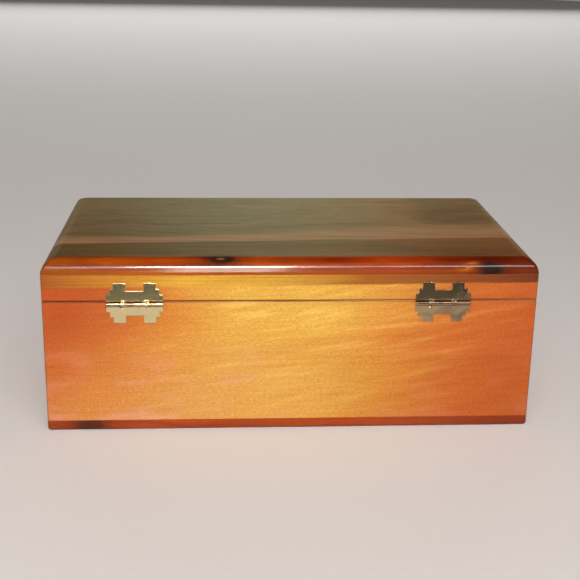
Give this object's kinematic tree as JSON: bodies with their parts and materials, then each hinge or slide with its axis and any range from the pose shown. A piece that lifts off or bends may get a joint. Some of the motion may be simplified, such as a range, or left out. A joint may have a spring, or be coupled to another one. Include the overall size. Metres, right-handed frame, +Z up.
{
  "type": "hinged wooden keepsake box",
  "caption": "Small varnished cedar keepsake box with a rounded lid top, two stepped brass hinges on the back and a small key lock on the front.",
  "frame": {"origin": "centre of the face that the box rests on", "axes": "+X along the box, -Y out of the front with the lock, +Y out of the back with the hinges, +Z up"},
  "size_m": [0.2286, 0.1272, 0.0838],
  "materials": {
    "cedar": "varnished orange cedar, semi gloss",
    "cedar_dark": "varnished deep red cedar, semi gloss",
    "brass": "stamped and slightly tarnished",
    "steel": "plain drawn wire"
  },
  "bodies": {
    "box": {"bottom_board": "cedar_dark", "front_panel": "cedar", "back_panel": "cedar", "left_end_panel": "cedar", "right_end_panel": "cedar", "bottom_brads": "steel", "hinge_left_body_leaf": "brass", "hinge_left_pin": "steel", "hinge_right_body_leaf": "brass", "hinge_right_pin": "steel", "lock_case": "brass", "lock_case_pins": "brass"},
    "lid": {"lid_top_board": "cedar_dark", "lid_front_rail": "cedar", "lid_back_rail": "cedar", "lid_left_rail": "cedar", "lid_right_rail": "cedar", "hinge_left_lid_leaf": "brass", "hinge_right_lid_leaf": "brass", "lock_strike": "brass", "lock_strike_pins": "brass"},
    "plug": {"lock_plug": "brass", "lock_cam": "steel"}
  },
  "joints": [
    {"name": "lid_hinge", "type": "hinge", "parent": "box", "child": "lid", "pos_m": [0, 0.0617, 0.0634], "axis": [-1, 0, 0], "range_deg": [0, 105]},
    {"name": "lock_turn", "type": "hinge", "parent": "box", "child": "plug", "pos_m": [0, -0.0605, 0.0558], "axis": [0, 1, 0], "range_deg": [0, 90]}
  ]
}
